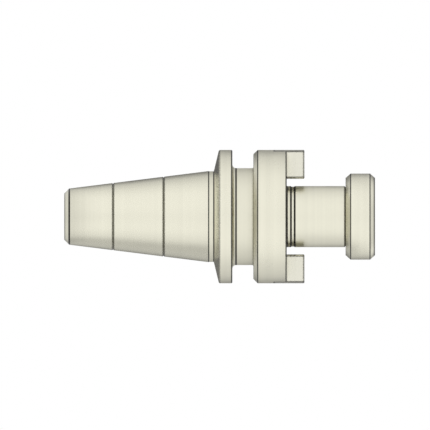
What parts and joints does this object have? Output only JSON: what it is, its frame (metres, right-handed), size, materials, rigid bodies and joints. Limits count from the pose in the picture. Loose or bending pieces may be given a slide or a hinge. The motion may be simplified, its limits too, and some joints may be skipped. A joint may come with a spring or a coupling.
{
  "type": "shell mill arbor",
  "caption": "Arbor with a steep taper shank, grooved flange, keyed hub and pilot for a shell mill, with the screw that clamps the cutter.",
  "frame": {"origin": "centre of the gauge plane, where the big end of the taper meets its land, on the spindle axis", "axes": "+Z along the spindle axis from the small end of the taper towards the cutter, +X through one of the two drive keys"},
  "size_m": [0.048, 0.048, 0.1119],
  "materials": {
    "arbor_steel": "pale plated steel, ground on the taper and pilot, turned elsewhere",
    "key_steel": "hardened and surface ground",
    "screw_steel": "pale plated steel, turned",
    "blackened_steel": "oil-blackened"
  },
  "bodies": {
    "arbor": {"arbor_body": "arbor_steel", "drive_key_1": "key_steel", "drive_key_2": "key_steel", "key_screw_1": "blackened_steel", "key_screw_2": "blackened_steel"},
    "lock_screw": {"lock_screw": "screw_steel"}
  },
  "joints": [
    {"name": "lock_screw_travel", "type": "slide", "parent": "arbor", "child": "lock_screw", "axis": [0, 0, 1], "range_m": [0, 0.024]}
  ]
}
